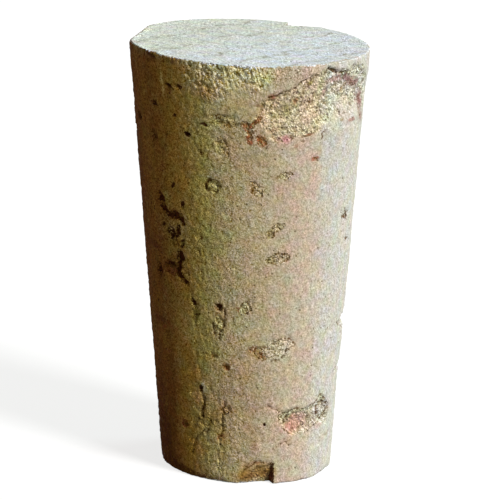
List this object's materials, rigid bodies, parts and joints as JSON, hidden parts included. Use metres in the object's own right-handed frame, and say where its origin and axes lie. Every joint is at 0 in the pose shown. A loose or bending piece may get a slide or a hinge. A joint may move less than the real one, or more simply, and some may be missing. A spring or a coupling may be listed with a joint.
{
  "type": "cork stopper",
  "caption": "Tapered natural cork stopper with sawn ends, lenticel pits, crumbled hollows and chipped edges.",
  "frame": {"origin": "centre of the foot, the narrow sawn face that the stopper stands on", "axes": "+Z from the foot to the head, square to both sawn faces; -Y is the front with the foot's chip; the head's centre leans 1.8 mm towards -X"},
  "size_m": [0.0249, 0.025, 0.0455],
  "materials": {
    "cork": "matte"
  },
  "bodies": {
    "root": {"stopper": "cork"}
  },
  "joints": []
}
